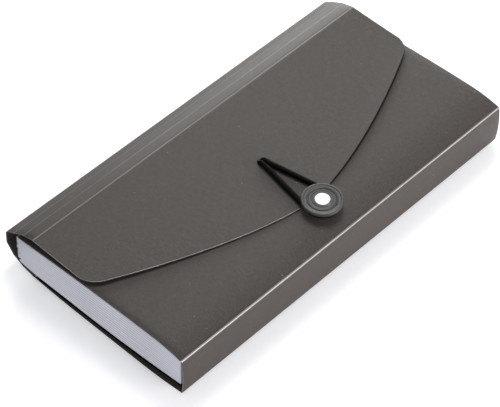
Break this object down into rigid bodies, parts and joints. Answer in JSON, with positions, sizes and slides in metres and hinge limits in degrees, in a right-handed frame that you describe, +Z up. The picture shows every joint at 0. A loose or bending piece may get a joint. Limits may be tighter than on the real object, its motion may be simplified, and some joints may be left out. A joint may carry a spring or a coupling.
{
  "type": "expanding coupon wallet",
  "caption": "Accordion file for coupons: pleated pockets in a folded plastic cover, closed by an elastic loop round a riveted button.",
  "frame": {"origin": "centre of the wallet's footprint, on the surface it lies on", "axes": "+X along the creases, +Y from the base fold to the wrapped mouth, +Z up through the front cover"},
  "size_m": [0.26, 0.138, 0.0378],
  "materials": {
    "cover_sheet": "fine matt grain, dark warm grey polypropylene",
    "pocket_leaf": "smooth pale bluish-grey film",
    "gusset_film": "thin folded film, slightly translucent",
    "button_plastic": "satin dark grey moulding",
    "rivet_plastic": "smooth white moulding",
    "washer_plastic": "black moulding",
    "elastic_cord": "braided black elastic"
  },
  "bodies": {
    "back_cover": {"back_cover": "cover_sheet", "rear_liner": "pocket_leaf", "pocket_gusset_13": "gusset_film"},
    "base_panel": {"base_panel": "cover_sheet"},
    "wrap_strip_1": {"wrap_strip_1": "cover_sheet"},
    "wrap_strip_2": {"wrap_strip_2": "cover_sheet"},
    "wrap_strip_3": {"wrap_strip_3": "cover_sheet"},
    "wrap_strip_4": {"wrap_strip_4": "cover_sheet"},
    "wrap_strip_5": {"wrap_strip_5": "cover_sheet"},
    "wrap_strip_6": {"wrap_strip_6": "cover_sheet"},
    "wrap_strip_7": {"wrap_strip_7": "cover_sheet"},
    "flap": {"flap": "cover_sheet", "elastic_loop": "elastic_cord", "elastic_anchor": "washer_plastic"},
    "divider_12": {"divider_12": "pocket_leaf", "pocket_gusset_12": "gusset_film"},
    "divider_11": {"divider_11": "pocket_leaf", "pocket_gusset_11": "gusset_film"},
    "divider_10": {"divider_10": "pocket_leaf", "pocket_gusset_10": "gusset_film"},
    "divider_09": {"divider_09": "pocket_leaf", "pocket_gusset_09": "gusset_film"},
    "divider_08": {"divider_08": "pocket_leaf", "pocket_gusset_08": "gusset_film"},
    "divider_07": {"divider_07": "pocket_leaf", "pocket_gusset_07": "gusset_film"},
    "divider_06": {"divider_06": "pocket_leaf", "pocket_gusset_06": "gusset_film"},
    "divider_05": {"divider_05": "pocket_leaf", "pocket_gusset_05": "gusset_film"},
    "divider_04": {"divider_04": "pocket_leaf", "pocket_gusset_04": "gusset_film"},
    "divider_03": {"divider_03": "pocket_leaf", "pocket_gusset_03": "gusset_film"},
    "divider_02": {"divider_02": "pocket_leaf", "pocket_gusset_02": "gusset_film"},
    "divider_01": {"divider_01": "pocket_leaf", "pocket_gusset_01": "gusset_film"},
    "front_cover": {"front_cover": "cover_sheet", "front_liner": "pocket_leaf", "rivet": "rivet_plastic", "rivet_washer": "washer_plastic"},
    "button": {"button": "button_plastic"}
  },
  "joints": [
    {"name": "crease_1", "type": "hinge", "parent": "back_cover", "child": "wrap_strip_1", "pos_m": [0, 0.04811, 0.0019], "axis": [-1, 0, 0], "range_deg": [0, 9.9]},
    {"name": "crease_2", "type": "hinge", "parent": "wrap_strip_1", "child": "wrap_strip_2", "pos_m": [0, 0.05626, 0.00363], "axis": [-1, 0, 0], "range_deg": [0, 16.6]},
    {"name": "crease_3", "type": "hinge", "parent": "wrap_strip_2", "child": "wrap_strip_3", "pos_m": [0, 0.06358, 0.00761], "axis": [-1, 0, 0], "range_deg": [0, 24.3]},
    {"name": "crease_4", "type": "hinge", "parent": "wrap_strip_3", "child": "wrap_strip_4", "pos_m": [0, 0.06863, 0.01424], "axis": [-1, 0, 0], "range_deg": [0, 38.6]},
    {"name": "crease_5", "type": "hinge", "parent": "wrap_strip_4", "child": "wrap_strip_5", "pos_m": [0, 0.06845, 0.02256], "axis": [-1, 0, 0], "range_deg": [0, 55.1]},
    {"name": "crease_6", "type": "hinge", "parent": "wrap_strip_5", "child": "wrap_strip_6", "pos_m": [0, 0.06153, 0.0272], "axis": [-1, 0, 0], "range_deg": [0, 6.15]},
    {"name": "crease_7", "type": "hinge", "parent": "wrap_strip_6", "child": "wrap_strip_7", "pos_m": [0, 0.05416, 0.03108], "axis": [-1, 0, 0], "range_deg": [0, 13.3]},
    {"name": "crease_8", "type": "hinge", "parent": "wrap_strip_7", "child": "flap", "pos_m": [0, 0.0461, 0.03317], "axis": [-1, 0, 0], "range_deg": [0, 16.6], "deforming": ["elastic_loop"]},
    {"name": "base_crease", "type": "hinge", "parent": "back_cover", "child": "base_panel", "pos_m": [0, -0.06763, 0.00256], "axis": [1, 0, 0], "range_deg": [0, 11.65]},
    {"name": "pocket_fan_13", "type": "hinge", "parent": "back_cover", "child": "divider_12", "pos_m": [0, -0.06833, 0.00837], "axis": [1, 0, 0], "range_deg": [0, 2.25], "deforming": ["pocket_gusset_13"]},
    {"name": "pocket_fan_12", "type": "hinge", "parent": "divider_12", "child": "divider_11", "pos_m": [0, -0.06833, 0.00991], "axis": [1, 0, 0], "range_deg": [0, 2.25], "deforming": ["pocket_gusset_12"]},
    {"name": "pocket_fan_11", "type": "hinge", "parent": "divider_11", "child": "divider_10", "pos_m": [0, -0.06833, 0.01153], "axis": [1, 0, 0], "range_deg": [0, 2.25], "deforming": ["pocket_gusset_11"]},
    {"name": "pocket_fan_10", "type": "hinge", "parent": "divider_10", "child": "divider_09", "pos_m": [0, -0.06833, 0.01315], "axis": [1, 0, 0], "range_deg": [0, 2.25], "deforming": ["pocket_gusset_10"]},
    {"name": "pocket_fan_09", "type": "hinge", "parent": "divider_09", "child": "divider_08", "pos_m": [0, -0.06833, 0.01477], "axis": [1, 0, 0], "range_deg": [0, 2.25], "deforming": ["pocket_gusset_09"]},
    {"name": "pocket_fan_08", "type": "hinge", "parent": "divider_08", "child": "divider_07", "pos_m": [0, -0.06833, 0.01639], "axis": [1, 0, 0], "range_deg": [0, 2.25], "deforming": ["pocket_gusset_08"]},
    {"name": "pocket_fan_07", "type": "hinge", "parent": "divider_07", "child": "divider_06", "pos_m": [0, -0.06833, 0.01801], "axis": [1, 0, 0], "range_deg": [0, 2.25], "deforming": ["pocket_gusset_07"]},
    {"name": "pocket_fan_06", "type": "hinge", "parent": "divider_06", "child": "divider_05", "pos_m": [0, -0.06833, 0.01962], "axis": [1, 0, 0], "range_deg": [0, 2.25], "deforming": ["pocket_gusset_06"]},
    {"name": "pocket_fan_05", "type": "hinge", "parent": "divider_05", "child": "divider_04", "pos_m": [0, -0.06833, 0.02124], "axis": [1, 0, 0], "range_deg": [0, 2.25], "deforming": ["pocket_gusset_05"]},
    {"name": "pocket_fan_04", "type": "hinge", "parent": "divider_04", "child": "divider_03", "pos_m": [0, -0.06833, 0.02286], "axis": [1, 0, 0], "range_deg": [0, 2.25], "deforming": ["pocket_gusset_04"]},
    {"name": "pocket_fan_03", "type": "hinge", "parent": "divider_03", "child": "divider_02", "pos_m": [0, -0.06833, 0.02448], "axis": [1, 0, 0], "range_deg": [0, 2.25], "deforming": ["pocket_gusset_03"]},
    {"name": "pocket_fan_02", "type": "hinge", "parent": "divider_02", "child": "divider_01", "pos_m": [0, -0.06833, 0.0261], "axis": [1, 0, 0], "range_deg": [0, 2.25], "deforming": ["pocket_gusset_02"]},
    {"name": "pocket_fan_01", "type": "hinge", "parent": "divider_01", "child": "front_cover", "pos_m": [0, -0.06833, 0.02772], "axis": [1, 0, 0], "range_deg": [0, 2.25], "deforming": ["pocket_gusset_01"]},
    {"name": "button_spin", "type": "hinge", "parent": "front_cover", "child": "button", "pos_m": [0, -0.04763, 0.036], "axis": [0, 0, 1], "continuous": true}
  ],
  "couplings": [
    {"joint": "crease_2", "follows": "crease_1", "ratio": 1.6667},
    {"joint": "crease_3", "follows": "crease_1", "ratio": 2.4444},
    {"joint": "crease_4", "follows": "crease_1", "ratio": 3.8889},
    {"joint": "crease_5", "follows": "crease_1", "ratio": 5.5556},
    {"joint": "crease_6", "follows": "crease_1", "ratio": 0.6111},
    {"joint": "crease_7", "follows": "crease_1", "ratio": 1.3333},
    {"joint": "crease_8", "follows": "crease_1", "ratio": 1.6667},
    {"joint": "base_crease", "follows": "crease_1", "ratio": 1.1667},
    {"joint": "pocket_fan_13", "follows": "crease_1", "ratio": 0.2222},
    {"joint": "pocket_fan_12", "follows": "crease_1", "ratio": 0.2222},
    {"joint": "pocket_fan_11", "follows": "crease_1", "ratio": 0.2222},
    {"joint": "pocket_fan_10", "follows": "crease_1", "ratio": 0.2222},
    {"joint": "pocket_fan_09", "follows": "crease_1", "ratio": 0.2222},
    {"joint": "pocket_fan_08", "follows": "crease_1", "ratio": 0.2222},
    {"joint": "pocket_fan_07", "follows": "crease_1", "ratio": 0.2222},
    {"joint": "pocket_fan_06", "follows": "crease_1", "ratio": 0.2222},
    {"joint": "pocket_fan_05", "follows": "crease_1", "ratio": 0.2222},
    {"joint": "pocket_fan_04", "follows": "crease_1", "ratio": 0.2222},
    {"joint": "pocket_fan_03", "follows": "crease_1", "ratio": 0.2222},
    {"joint": "pocket_fan_02", "follows": "crease_1", "ratio": 0.2222},
    {"joint": "pocket_fan_01", "follows": "crease_1", "ratio": 0.2222}
  ]
}
